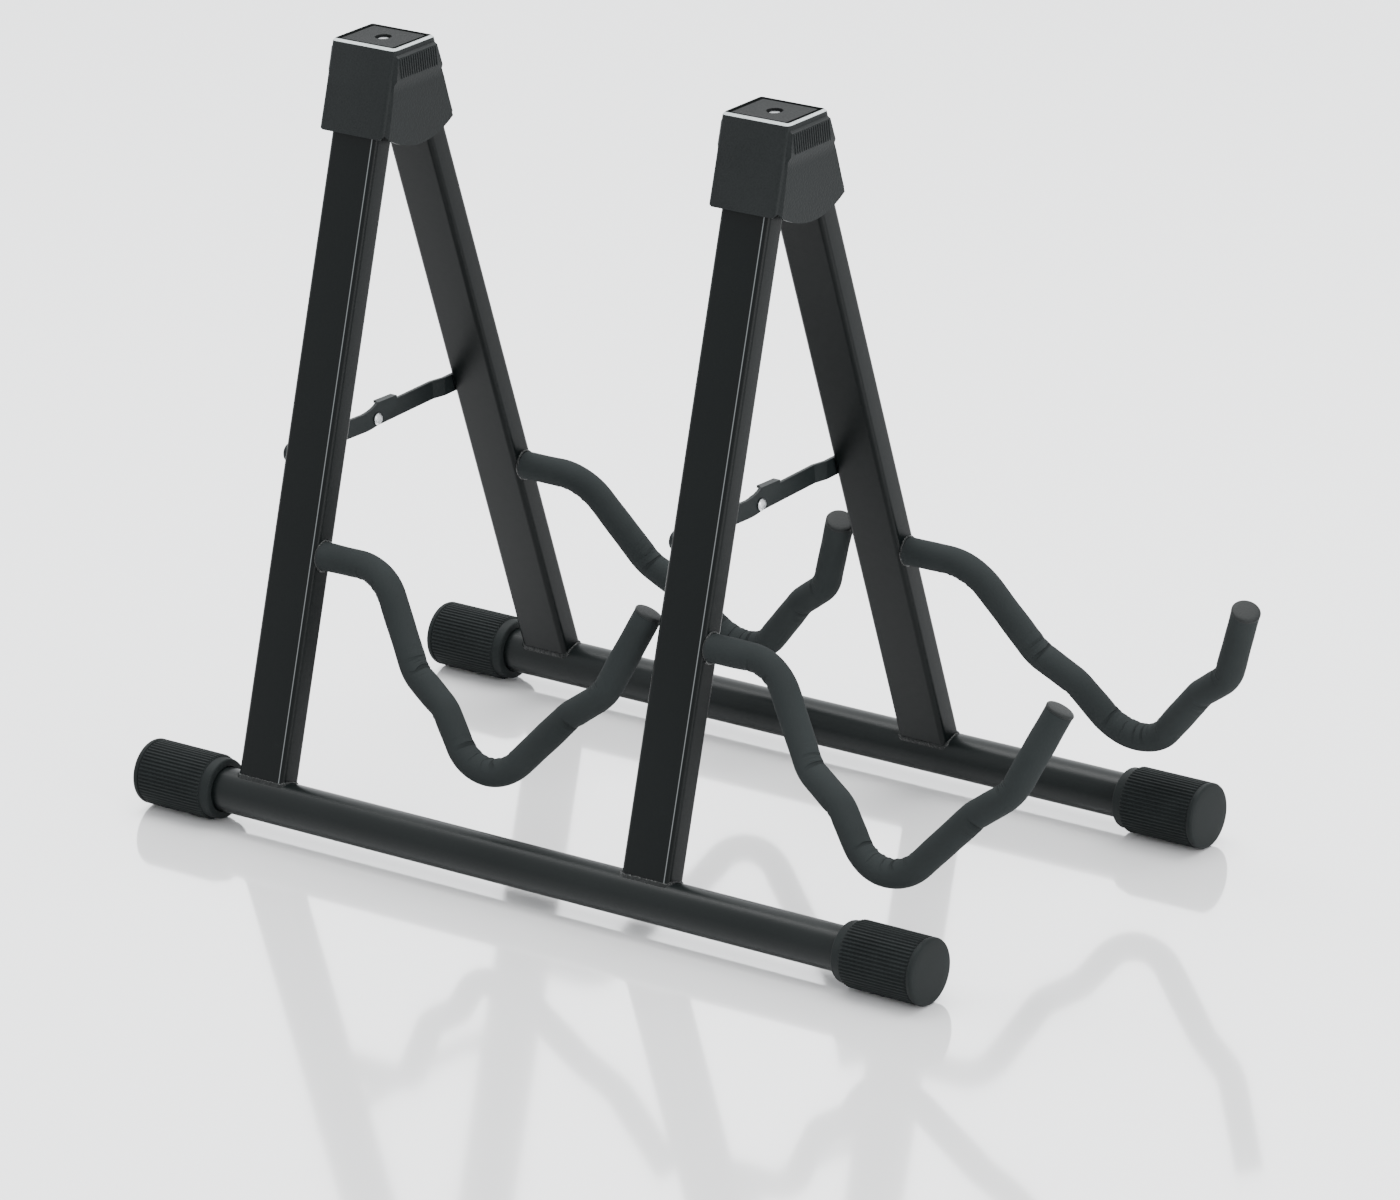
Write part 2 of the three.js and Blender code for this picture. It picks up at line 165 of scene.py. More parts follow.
class Finish:
    def __init__(self, name, roughness, metallic=0.0, coat=0.0, specular=0.5):
        self.material = bpy.data.materials.new(name)
        self.material.use_nodes = True
        self.tree = self.material.node_tree
        self.shader = self.tree.nodes["Principled BSDF"]
        self.shader.inputs["Roughness"].default_value = roughness
        self.shader.inputs["Metallic"].default_value = metallic
        self.shader.inputs["Coat Weight"].default_value = coat
        self.shader.inputs["Coat Roughness"].default_value = 0.12
        self.shader.inputs["Specular IOR Level"].default_value = specular
        self.place = self.node("TexCoord", {}, {}, "Object")

    def node(self, kind, settings, values, output=0):
        made = self.tree.nodes.new("ShaderNode" + kind)
        for key, value in settings.items():
            setattr(made, key, value)
        for key, value in values.items():
            if isinstance(value, Flow):
                self.tree.links.new(value.socket, made.inputs[key])
            else:
                made.inputs[key].default_value = value
        return Flow(self, made.outputs[output])

    def noise(self, scale, detail=2.0, at=None, roughness=0.5):
        values = {"Vector": at or self.place, "Scale": scale, "Detail": detail, "Roughness": roughness}
        return self.node("TexNoise", {}, values)

    def smooth(self, value, low, high):
        return self.node("MapRange", {"interpolation_type": "SMOOTHSTEP"},
                         {"Value": value, "From Min": low, "From Max": high})

    def blend(self, amount, dark, light):
        """A colour between two others."""
        mixer = self.tree.nodes.new("ShaderNodeMix")
        mixer.data_type = "RGBA"
        for slot, value in ((0, amount), (6, dark), (7, light)):
            if isinstance(value, Flow):
                self.tree.links.new(value.socket, mixer.inputs[slot])
            elif slot:
                mixer.inputs[slot].default_value = (*value, 1)
            else:
                mixer.inputs[slot].default_value = value
        return Flow(self, mixer.outputs[2])

    def feed(self, **sockets):
        names = {"color": "Base Color", "roughness": "Roughness", "coat": "Coat Weight"}
        for key, value in sockets.items():
            self.tree.links.new(value.socket, self.shader.inputs[names[key]])

    def bump(self, height, strength, distance):
        bumped = self.node("Bump", {}, {"Height": height, "Strength": strength, "Distance": distance})
        self.tree.links.new(bumped.socket, self.shader.inputs["Normal"])


print("shader words:", [w for w in vars(Finish) if not w.startswith("_")])

# %% [markdown]
# The base tubes are semi-gloss paint: a little orange peel, a roughness that drifts, and
# a few settled specks of dust. The legs are powder coated, with a finer and rougher skin,
# and carry a painted highlight, a lighter and glossier line, where the piece carries an
# attribute named `corner`.

# %% Paints
gloss_paint = Finish("gloss_black_paint", 0.2, specular=0.11)
cloud = gloss_paint.noise(14, 3)
speck = gloss_paint.smooth(gloss_paint.noise(1900, 1), 0.68, 0.76)
gloss_paint.feed(
    color=gloss_paint.blend(cloud * 0.6 + speck * 0.4,
                            (0.0022, 0.0032, 0.0032), (0.0066, 0.0084, 0.0084)),
    roughness=0.26 + cloud * 0.14 + speck * 0.2)
gloss_paint.bump(gloss_paint.noise(420, 2), 0.12, 0.0003)


def powder_coat(name, dark, light, rough, corner_highlight=None):
    coat = Finish(name, rough, specular=0.09)
    patch = coat.noise(11, 3)
    skin = coat.noise(1500, 3, roughness=0.6)
    worn = coat.smooth(coat.noise(55, 5, roughness=0.7), 0.60, 0.78)
    tone = coat.blend(patch * 0.55 + worn * 0.3, dark, light)
    # The corner line is a painted highlight: a lighter colour, with a clear coat over it.
    if corner_highlight:
        edge = coat.node("Attribute", {"attribute_name": "corner"}, {}, "Fac")
        tone = coat.blend(edge, tone, corner_highlight)
        coat.feed(coat=edge)
    coat.feed(color=tone, roughness=rough - 0.06 + patch * 0.1 + worn * 0.08)
    coat.bump(skin + coat.noise(300, 1) * 0.6, 0.22, 0.00022)
    return coat


# The last colour is the painted highlight along the legs' corner.
leg_paint = powder_coat("satin_powder_coat", (0.0010, 0.0016, 0.0016), (0.0027, 0.0040, 0.0041), 0.34,
                        corner_highlight=(0.085, 0.092, 0.094))
link_paint = powder_coat("link_powder_coat", (0.0058, 0.0076, 0.0078), (0.0125, 0.0155, 0.0158), 0.42)
print("paints:", gloss_paint.material.name, leg_paint.material.name, link_paint.material.name)

# %% [markdown]
# Steel fittings are zinc plated: bright, a little mottled, with fine scratches. A weld
# is the same paint over a lumpy bead, so it catches small highlights.

# %% Metal and weld
zinc = Finish("zinc_plate", 0.3, metallic=1.0)
mottle = zinc.noise(160, 3)
scratch = zinc.node("TexNoise", {}, {"Vector": zinc.node("Mapping", {}, {
    "Vector": zinc.place, "Scale": (1, 1, 14)}), "Scale": 500, "Detail": 2})
zinc.feed(color=zinc.blend(mottle, (0.26, 0.27, 0.28), (0.52, 0.53, 0.54)),
          roughness=0.22 + mottle * 0.16 + scratch * 0.08)
zinc.bump(scratch, 0.15, 0.0001)

weld_paint = Finish("painted_weld", 0.2, specular=0.16)
lump = weld_paint.noise(330, 2)
weld_paint.feed(color=weld_paint.blend(lump, (0.0018, 0.0023, 0.0023), (0.0060, 0.0070, 0.0070)),
                roughness=0.16 + lump * 0.2)
weld_paint.bump(lump + weld_paint.noise(900, 1) * 0.3, 0.8, 0.0012)
print("metals:", zinc.material.name, weld_paint.material.name)

# %% [markdown]
# Rubber feet are dull with a chalky bloom. The caps are black plastic with a moulded
# grain, a pale stippled rim and a rubber pad on top. All four plastics share one recipe,
# which takes its colours, roughness, grain and depth.

# %% Rubber and plastic
foot_rubber = Finish("foot_rubber", 0.6, specular=0.07)
bloom = foot_rubber.noise(60, 4, roughness=0.65)
foot_rubber.feed(color=foot_rubber.blend(bloom, (0.0034, 0.0043, 0.0043), (0.0104, 0.0127, 0.0127)),
                 roughness=0.48 + bloom * 0.22)
foot_rubber.bump(foot_rubber.noise(1300, 2), 0.25, 0.0002)


def grained(name, dark, light, rough, grain, depth):
    plastic = Finish(name, rough, specular=0.08)
    haze = plastic.noise(26, 3)
    cells = plastic.node("TexVoronoi", {"feature": "SMOOTH_F1"}, {
        "Vector": plastic.place, "Scale": grain, "Smoothness": 0.6})
    pores = plastic.smooth(cells, 0.1, 0.7)
    plastic.feed(color=plastic.blend(haze * 0.7 + pores * 0.3, dark, light),
                 roughness=rough - 0.08 + haze * 0.12 + pores * 0.08)
    plastic.bump(pores + plastic.noise(grain * 1.7, 2) * 0.5, 0.3, depth)
    return plastic


rim_plastic = grained("stippled_rim", (0.16, 0.175, 0.175), (0.42, 0.45, 0.45), 0.5, 1500, 0.0003)
cap_plastic = grained("cap_plastic", (0.0042, 0.0050, 0.0051), (0.0098, 0.0114, 0.0116), 0.44, 950, 0.00018)
pad_rubber = grained("pad_rubber", (0.0040, 0.0045, 0.0046), (0.0110, 0.0120, 0.0122), 0.66, 1400, 0.0003)
plug_plastic = grained("plug_plastic", (0.0060, 0.0067, 0.0067), (0.0150, 0.0163, 0.0163), 0.5, 1200, 0.00015)
print("soft finishes:", foot_rubber.material.name, cap_plastic.material.name, pad_rubber.material.name)

# %% [markdown]
# Foam is matt, faintly green, and finely pored. Where an arm bends, the inside of the
# bend is squeezed, so the skin gathers there in wrinkles across the arm, and painted shade
# darkens the wrinkles' folds. Each sleeve carries two attributes for this: `along`, the
# distance down the arm, and `squeeze`, which is 1 on the inside of a tight bend.

# %% Foam
foam = Finish("closed_cell_foam", 0.86, specular=0.05)
along = foam.node("Attribute", {"attribute_name": "along"}, {}, "Fac")
squeeze = foam.node("Attribute", {"attribute_name": "squeeze"}, {}, "Fac")
waver = foam.noise(70, 2)
fold_at = foam.node("CombineXYZ", {}, {"X": along + waver * 0.006, "Y": waver * 0.004})
fold = foam.noise(260, 2, at=fold_at)
# This mask shapes the wrinkles and also paints shade into their folds.
crease_and_shade = foam.smooth(fold, 0.50, 0.64) * squeeze
pore = foam.noise(2100, 2)
rubbed = foam.noise(24, 3)
# Taking the wrinkle mask off the colour is painted shade in the folds.
foam.feed(color=foam.blend(rubbed * 0.6 + pore * 0.25 - crease_and_shade * 0.5, (0.0082, 0.0098, 0.0099),
                           (0.0195, 0.0225, 0.0228)),
          roughness=0.78 + pore * 0.16)
foam.bump(pore * 0.18 + rubbed * 0.5 - crease_and_shade * 1.3, 0.8, 0.0008)
print("foam reads:", ["along", "squeeze"])

# %% [markdown]
# Every piece is made the same way: add a primitive, go into edit mode, select by
# place, shape, and come out. These helpers hold the repeated moves. `settle` puts the
# finished piece at the origin, smooths it, and hands it to its body.

# %% Modelling helpers
def start(name):
    piece = bpy.context.active_object
    piece.name = name
    piece.data.name = name
    return piece


def only(piece):
    if bpy.context.mode != "OBJECT":
        bpy.ops.object.mode_set(mode="OBJECT")
    bpy.ops.object.select_all(action="DESELECT")
    piece.select_set(True)
    bpy.context.view_layer.objects.active = piece


def pick(piece, test, kind="verts"):
    """In edit mode, select what passes the test, given its middle (and a face's normal)."""
    mode = {"verts": "VERT", "edges": "EDGE", "faces": "FACE"}[kind]
    bpy.ops.mesh.select_mode(type=mode)
    bpy.ops.mesh.select_all(action="DESELECT")
    shape = bmesh.from_edit_mesh(piece.data)
    chosen = 0
    for part in getattr(shape, kind):
        if kind == "verts":
            hit = test(part.co / MM)
        elif kind == "edges":
            hit = test(part.verts[0].co / MM, part.verts[1].co / MM)
        else:
            hit = test(part.calc_center_median() / MM, part.normal)
        if hit:
            part.select = True
            chosen += 1
    shape.select_flush_mode()
    bmesh.update_edit_mesh(piece.data)
    return chosen


def pick_all():
    """Select every point. A bare ring can't be selected while faces are being picked."""
    bpy.ops.mesh.select_mode(type="VERT")
    bpy.ops.mesh.select_all(action="SELECT")


def apply_modifier(piece, kind, **settings):
    only(piece)
    modifier = piece.modifiers.new(kind.title(), kind)
    for key, value in settings.items():
        setattr(modifier, key, value)
    bpy.ops.object.modifier_apply(modifier=modifier.name)


def settle(piece, body, finish, nodes=(), angle=32, place=None):
    only(piece)
    if place is not None:
        piece.data.transform(place)
    bpy.ops.object.transform_apply(location=True, rotation=True, scale=True)
    bpy.ops.object.mode_set(mode="EDIT")
    bpy.ops.mesh.select_all(action="SELECT")
    bpy.ops.mesh.normals_make_consistent(inside=False)
    bpy.ops.object.mode_set(mode="OBJECT")
    bpy.ops.object.shade_smooth_by_angle(angle=radians(angle))
    if not piece.data.materials:
        piece.data.materials.append(finish.material)
    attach(piece, body)
    if nodes:
        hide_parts(*nodes)


def copy_of(piece, name):
    twin = piece.copy()
    twin.data = piece.data.copy()
    twin.name = twin.data.name = name
    bpy.context.scene.collection.objects.link(twin)
    return twin


def grow(step, size=None):
    """Extrude the selection by a step in mm, then scale it about the origin."""
    bpy.ops.mesh.extrude_region_move(TRANSFORM_OT_translate={"value": Vector(step) * MM})
    if size:
        bpy.ops.transform.resize(value=size, center_override=(0, 0, 0))


def leg_frame(side, x, s=0.0):
    """The place of a leg: from its own axes to the rack's, s mm above the base tube."""
    base = Vector((x, side * SPREAD, AXIS_Z)) * MM
    lean = Matrix.Rotation(side * LEAN, 4, "X")
    return Matrix.Translation(base) @ lean @ Matrix.Translation((0, 0, s * MM))


print("a front leg leans", round(leg_frame(-1, 0).to_euler().x * 180 / pi, 2), "degrees")

# %% [markdown] The floor is one large sheet, pale and polished, that mirrors the
# rack faintly.

# %% Floor
floor_finish = Finish("pale_floor", 0.08, metallic=0.38, coat=1.0, specular=1.0)
drift = floor_finish.noise(1.5, 2)
floor_finish.feed(color=floor_finish.blend(drift, (0.93, 0.93, 0.935), (0.95, 0.95, 0.955)),
                  roughness=0.05 + drift * 0.04)
bpy.ops.object.select_all(action="DESELECT")
bpy.ops.mesh.primitive_plane_add(size=16, location=(0, 0, -0.0003))
floor = start("floor")
floor.data.materials.append(floor_finish.material)
print("floor", tuple(round(d, 1) for d in floor.dimensions))

# %% [markdown]
# ## Base tubes
# A plain round tube with its paint. A cylinder with open ends gets its wall from
# Solidify, so that the ends are true tube ends inside the feet.

# %% Base tubes
for name, side in SIDES.items():
    bpy.ops.object.select_all(action="DESELECT")
    bpy.ops.mesh.primitive_cylinder_add(vertices=72, radius=TUBE_R * MM, depth=2 * TUBE_HALF * MM,
                                        end_fill_type="NOTHING", rotation=(0, pi / 2, 0),
                                        location=(BASE_X * MM, side * SPREAD * MM, AXIS_Z * MM))
    tube = start(f"{name}_base_tube_smooth")
    apply_modifier(tube, "SOLIDIFY", thickness=TUBE_WALL * MM, offset=-1)
    settle(tube, f"{name}_frame", gloss_paint, [f"{name}_base_tube"])
    print(tube.name, len(tube.data.polygons), "faces")

# %% [markdown]
# ## Feet
# A rubber foot is a turned cup with grip ribs along it. It is grown ring by ring from
# a circle, collar first. Two of every four points on the grip rings are then drawn in,
# which leaves a rib between each pair of grooves.

# %% One foot
RIBS, GROOVE = 54, 0.953                   # a groove is this much of the grip's radius
FOOT_BORE = 12.9
bpy.ops.object.select_all(action="DESELECT")
bpy.ops.mesh.primitive_circle_add(vertices=RIBS * 4, radius=FOOT_BORE * MM, rotation=(0, pi / 2, 0),
                                  location=((BASE_HALF - FOOT_LENGTH) * MM, 0, 0))
foot = start("foot_master")
bpy.ops.object.transform_apply(location=True, rotation=True)
bpy.ops.object.mode_set(mode="EDIT")
pick_all()
FOOT_PROFILE = [                           # (along the tube, radius)
    (212.0, 16.0), (212.4, 16.6), (213.2, 16.9), (217.3, 16.9), (217.7, 17.1), (217.8, 17.5),
    (218.4, 18.35), (260.4, 18.35), (261.0, 17.5), (261.5, 17.5), (261.7, 18.1), (262.1, 18.35),
    (263.4, 18.35), (264.2, 18.0), (264.6, 17.3), (264.75, 16.4), (264.85, 12.0), (264.95, 6.0),
    (265.0, 1.0),
]
x, r = BASE_HALF - FOOT_LENGTH, FOOT_BORE
for next_x, next_r in FOOT_PROFILE:
    grow((next_x - x, 0, 0), (1, next_r / r, next_r / r))
    x, r = next_x, next_r
bpy.ops.mesh.edge_face_add()
step = 2 * pi / (RIBS * 4)
pick(foot, lambda p: 218.2 < p.x < 260.6 and round(atan2(p.z, p.y) / step) % 4 in (0, 1))
bpy.ops.transform.resize(value=(1, GROOVE, GROOVE), center_override=(0, 0, 0))
bpy.ops.object.mode_set(mode="OBJECT")
print("foot rings", len(FOOT_PROFILE), "ribs", RIBS)

# %% Four feet
for name, side in SIDES.items():
    for end, turned in (("right", 0), ("left", pi)):
        twin = copy_of(foot, f"foot_{name}_{end}_ribbed")
        tube_middle = Matrix.Translation(Vector((BASE_X, side * SPREAD, AXIS_Z)) * MM)
        place = tube_middle @ Matrix.Rotation(turned, 4, "Z")
        settle(twin, f"{name}_frame", foot_rubber, [f"foot_{name}_{end}"], 40, place)
bpy.data.objects.remove(foot)

# %% [markdown]
# ## Legs
# A leg is a rectangular tube with rounded corners. Its top is rounded about the
# hinge pin so that it can swing in the cap: the top face is extruded in short steps
# and narrowed in each, like the rings of a dome.

# %% One leg
LEG_BOTTOM, LEG_END_R = 8.0, 7.45
LEG_ROUND, ROUND_STEPS = 3.2, 12
DOME_STEPS, DOME_TURN = 9, radians(84)
bpy.ops.object.select_all(action="DESELECT")
bpy.ops.mesh.primitive_cube_add(size=1, location=(0, 0, (LEG_BOTTOM + PIN_S) / 2 * MM))
leg = start("leg_master")
leg.scale = Vector((LEG_W, LEG_D, PIN_S - LEG_BOTTOM)) * MM
bpy.ops.object.transform_apply(location=True, rotation=True, scale=True)
bpy.ops.object.mode_set(mode="EDIT")
pick(leg, lambda a, b: abs(a.z - b.z) > 10, "edges")
bpy.ops.mesh.bevel(offset=LEG_ROUND * MM, segments=ROUND_STEPS)
pick(leg, lambda p, n: n.z > 0.9, "faces")
for i in range(DOME_STEPS):
    low, high = (DOME_TURN * k / DOME_STEPS for k in (i, i + 1))
    grow((0, 0, LEG_END_R * (sin(high) - sin(low))), (1, cos(high) / cos(low), 1))
bpy.ops.object.mode_set(mode="OBJECT")
print("leg", [round(d / MM, 1) for d in leg.dimensions])

# %% [markdown]
# The outer corner that faces the guitars carries a painted highlight, a lighter and glossier
# hairline. Each leg marks it with an attribute, `corner`, which is 1 where that corner starts to turn.

# %% Four legs
hairline = LEG_W / 2 - LEG_ROUND * (1 - sin(pi / 2 / ROUND_STEPS))
for name, side in SIDES.items():
    for stand, x in STAND_X.items():
        twin = copy_of(leg, f"{name}_leg_{stand}_smooth")
        corner = twin.data.attributes.new("corner", "FLOAT", "POINT")
        for i, vertex in enumerate(twin.data.vertices):
            on_line = abs(vertex.co.x / MM - hairline) < 0.15
            corner.data[i].value = float(on_line and vertex.co.y * side > 0)
        settle(twin, f"{name}_frame", leg_paint, [f"{name}_leg_{stand}"], 30, leg_frame(side, x))
bpy.data.objects.remove(leg)

# %% [markdown]
# ## Welds
# Each leg is welded all round where it meets the base tube, and each arm where it
# leaves its leg. The first bead is a low collar round the leg that narrows upwards;
# the second is a squashed ring.

# %% Leg welds
BEAD = 0.9                                 # how far the bead stands out from the leg
bpy.ops.object.select_all(action="DESELECT")
bpy.ops.mesh.primitive_cube_add(size=1, location=(0, 0, 8.5 * MM))
weld = start("weld_master")
weld.scale = Vector((LEG_W + 2 * BEAD, LEG_D + 2 * BEAD, 7.0)) * MM
bpy.ops.object.transform_apply(location=True, rotation=True, scale=True)
bpy.ops.object.mode_set(mode="EDIT")
pick(weld, lambda a, b: abs(a.z - b.z) > 5, "edges")
bpy.ops.mesh.bevel(offset=3.8 * MM, segments=6)
pick(weld, lambda p, n: n.z > 0.9, "faces")
grow((0, 0, 0.7), (0.975, 0.95, 1))
grow((0, 0, 0.3), (0.98, 0.965, 1))
# The bead follows the round tube, so it dips at the leg's front and back:
# (from this far out, to this far out, how much lower).
for near, far, drop in ((4.5, 6.5, 0.5), (6.5, 9.5, 1.3)):
    pick(weld, lambda p: p.z > 11 and near < abs(p.y) <= far)
    bpy.ops.transform.translate(value=(0, 0, -drop * MM))
bpy.ops.object.mode_set(mode="OBJECT")
for name, side in SIDES.items():
    for stand, x in STAND_X.items():
        twin = copy_of(weld, f"leg_weld_{name}_{stand}")
        settle(twin, f"{name}_frame", weld_paint, (), 60, leg_frame(side, x))
bpy.data.objects.remove(weld)

# %% Arm welds
ARM_S = 138.8
for name, side in SIDES.items():
    for stand, x in STAND_X.items():
        bpy.ops.object.select_all(action="DESELECT")
        bpy.ops.mesh.primitive_torus_add(major_radius=7.9 * MM, minor_radius=1.0 * MM, major_segments=48,
                                         minor_segments=10, rotation=(0, pi / 2, 0))
        ring = start(f"arm_weld_{name}_{stand}")
        bpy.ops.object.transform_apply(rotation=True)
        bpy.ops.object.mode_set(mode="EDIT")
        pick_all()
        bpy.ops.transform.resize(value=(0.9, 0.9, 1.04), center_override=(0, 0, 0))
        bpy.ops.object.mode_set(mode="OBJECT")
        settle(ring, f"{name}_frame", weld_paint, (), 60,
               leg_frame(side, x + LEG_W / 2, ARM_S))

# %% [markdown]
# ## Foam sleeves
# The foam follows the bent rod: straights and arcs in the plane of the leg. A round
# section is extruded along each straight and spun round the middle of each arc, which
# is how a tube bender works. The corners below are the ones the rod is drawn with.

# %% The arm's line
ARM = [                                    # (from the leg's face, up the leg, bend radius)
    (0.5, ARM_S, 0), (42, ARM_S, 30), (74, 88, 25), (97, 73, 25), (130, 30, 27), (180, 85.6, 25),
    (200.5, 101, 25), (221, 148, 0),
]


def arm_moves(corners):
    """Straights and arcs as (start, end) and (start, end, middle, turn angle)."""
    at = [Vector((x, z)) for x, z, _ in corners]
    moves, here = [], at[0]
    for i in range(1, len(at) - 1):
        behind, ahead = (at[i - 1] - at[i]).normalized(), (at[i + 1] - at[i]).normalized()
        half, radius = acos(behind.dot(ahead)) / 2, corners[i][2]
        first, last = at[i] + behind * radius / tan(half), at[i] + ahead * radius / tan(half)
        centre = at[i] + (behind + ahead).normalized() * radius / sin(half)
        side = 1 if (-behind).cross(ahead) > 0 else -1
        moves.append((here, first))
        moves.append((first, last, centre, side * (pi - 2 * half)))
        here = last
    return moves + [(here, at[-1])]


MOVES = arm_moves(ARM)
bends = [round(move[3] * 180 / pi) for move in MOVES if len(move) == 4]
print("arm is", len(MOVES), "moves, bends of", bends, "degrees")

# %% [markdown]
# To know how far along the arm a point lies, and how hard the foam is squeezed there,
# the line is walked in small steps. On the inside of a bend the foam also puckers a
# little, so those points are pressed in and out in a short uneven wave.

# %% Walk the line
walk, travelled = [], 0.0
for move in MOVES:
    begin, end = move[0], move[1]
    if len(move) == 2:
        length, bend = (end - begin).length, 0.0
    else:
        length, bend = abs(move[3]) * (begin - move[2]).length, move[3] / abs(move[3])
    for i in range(24):
        share = i / 24
        if len(move) == 2:
            point, way = begin.lerp(end, share), (end - begin).normalized()
        else:
            turn_by = Matrix.Rotation(move[3] * share, 2)
            point = move[2] + turn_by @ (begin - move[2])
            way = turn_by @ Vector((-(begin - move[2]).y, (begin - move[2]).x)).normalized() * bend
        walk.append((point, way, travelled + length * share, bend))
    travelled += length
print("arm line is", round(travelled, 1), "mm long")


def arm_place(p):
    """Distance along the arm and the squeeze at a point of the sleeve, in its flat plane."""
    flat = Vector((p.x, p.z))
    best = min(range(len(walk)), key=lambda i: (walk[i][0] - flat).length_squared)
    point, way, far, _ = walk[best]
    near = walk[max(0, best - 5):best + 6]
    bend = sum(n[3] for n in near) / len(near)
    across = (flat - point).dot(Vector((-way.y, way.x)))
    return far + (flat - point).dot(way), max(0.0, min(1.0, bend * across / 7.0))


# %% One sleeve
SLEEVE_R, FOAM_WALL = 8.0, 2.4
RING_STEP, BEND_STEP = 2.2, 1.6            # between rings: on a straight, and round a 27 mm bend


def section_to(moves):
    """Carry the selected ring through the moves."""
    for move in moves:
        begin, end = move[0], move[1]
        if len(move) == 2:
            count = max(1, round((end - begin).length / RING_STEP))
            for _ in range(count):
                grow(((end.x - begin.x) / count, 0, (end.y - begin.y) / count))
        else:
            count = max(4, round(abs(move[3]) * 27 / BEND_STEP))
            bpy.ops.mesh.spin(steps=count, angle=move[3], axis=(0, 1, 0),
                              center=Vector((move[2].x, 0, move[2].y)) * MM)


bpy.ops.object.select_all(action="DESELECT")
bpy.ops.mesh.primitive_circle_add(vertices=44, radius=SLEEVE_R * MM, rotation=(0, pi / 2, 0),
                                  location=(ARM[0][0] * MM, 0, ARM[0][1] * MM))
sleeve = start("sleeve_master")
bpy.ops.object.transform_apply(location=True, rotation=True)
bpy.ops.object.mode_set(mode="EDIT")
pick_all()
section_to(MOVES)
pick_all()
bpy.ops.mesh.remove_doubles(threshold=0.00002)
bpy.ops.object.mode_set(mode="OBJECT")
print("sleeve", len(sleeve.data.vertices), "points,", [round(d / MM, 1) for d in sleeve.dimensions])

# %% [markdown]
# The open tube is given its attributes, puckered on the inside of the bends, and then
# a wall of foam. Soft foam is never a perfect cylinder, so each of the four copies is
# also swollen and thinned very slightly along its length, each in its own way.

# %% Dress the sleeve
spots = [arm_place(v.co / MM) for v in sleeve.data.vertices]
for label, index in (("along", 0), ("squeeze", 1)):
    attribute = sleeve.data.attributes.new(label, "FLOAT", "POINT")
    for i, spot in enumerate(spots):
        attribute.data[i].value = spot[index] * (MM if index == 0 else 1)
print("most squeezed", round(max(s[1] for s in spots), 2))


def pucker(piece, seed):
    """Press the foam in where it gathers, and vary its thickness a little."""
    normals = [v.normal.copy() for v in piece.data.vertices]
    for vertex, normal, (far, squeezed) in zip(piece.data.vertices, normals, spots):
        wave = sin(far * 1.3 + seed) * sin(far * 0.47 + 2 * seed) + 0.3 * sin(far * 2.3 + seed)
        dent = squeezed * (0.26 + 0.3 * wave)
        swell = 0.10 * sin(far * 0.11 + seed) + 0.05 * sin(far * 0.29 + 3 * seed) - 0.12
        vertex.co += normal * (swell - dent) * MM


# %% Four sleeves
only(sleeve)
bpy.ops.object.mode_set(mode="EDIT")
pick_all()
bpy.ops.mesh.normals_make_consistent(inside=False)
bpy.ops.object.mode_set(mode="OBJECT")
for number, (name, side) in enumerate(SIDES.items()):
    for stand, x in STAND_X.items():
        twin = copy_of(sleeve, f"foam_sleeve_{name}_{stand}_soft")
        pucker(twin, 1.3 + 2 * number + (stand == "left"))
        apply_modifier(twin, "SOLIDIFY", thickness=FOAM_WALL * MM, offset=-1)
        settle(twin, f"{name}_frame", foam, [f"foam_sleeve_{name}_{stand}"], 60,
               leg_frame(side, x + LEG_W / 2))
bpy.data.objects.remove(sleeve)

# %% [markdown]
# ## Arm plugs
# A low plastic button closes each sleeve. A circle is grown outwards in rings that
# widen to the foam's size and then narrow into a shallow dome.

# %% Arm plugs
PLUG_SEAT_R = 7.6
PLUG_PROFILE = [                           # (how far out, radius)
    (0.2, 8.0), (0.9, 8.0), (0.5, 7.7), (0.35, 7.1), (0.2, 5.5), (0.1, 3.0), (0.02, 0.6),
]
tip, last = ARM[-1], ARM[-2]
tip_angle = atan2(tip[1] - last[1], tip[0] - last[0])
for name, side in SIDES.items():
    for stand, x in STAND_X.items():
        bpy.ops.object.select_all(action="DESELECT")
        bpy.ops.mesh.primitive_circle_add(vertices=40, radius=PLUG_SEAT_R * MM, rotation=(0, pi / 2, 0))
        plug = start(f"arm_plug_{name}_{stand}_domed")
        bpy.ops.object.transform_apply(rotation=True)
        bpy.ops.object.mode_set(mode="EDIT")
        pick_all()
        r = PLUG_SEAT_R
        for out, next_r in PLUG_PROFILE:
            grow((out, 0, 0), (1, next_r / r, next_r / r))
            r = next_r
        bpy.ops.mesh.edge_face_add()
        pick(plug, lambda p: p.x < 0.01)
        bpy.ops.mesh.edge_face_add()
        bpy.ops.object.mode_set(mode="OBJECT")
        place = leg_frame(side, x + LEG_W / 2) @ Matrix.Translation(
            Vector((tip[0], 0, tip[1])) * MM) @ Matrix.Rotation(-tip_angle, 4, "Y")
        settle(plug, f"{name}_frame", plug_plastic, [f"arm_plug_{name}_{stand}"], 40, place)
print("plug tilt", round(tip_angle * 180 / pi, 1), "degrees")

# %% [markdown]
# ## Head caps
# The cap is a tapered plastic hood. A cube is narrowed at the top to the legs' slope
# and its corners are rounded. Bisecting it gives the side enough points to sag into the
# curved skirt. Then the sides get their panel, step and flare, the top gets the pad's
# seat, and the open hood gets its wall from Solidify.

# %% Cap shape
CAP_TOP, CAP_LOW, CAP_DIP = 421.5, 373.5, 364.6      # top, walls' lower edge, skirt's lowest point
TOP_HALF, LOW_HALF, CAP_X = 17.5, 31.7, 22.2         # half depths, and half the width
CAP_CORNER, RIM, CAP_WALL = 2.6, 1.2, 2.0
SLOPE = (LOW_HALF - TOP_HALF) / (CAP_TOP - CAP_LOW)

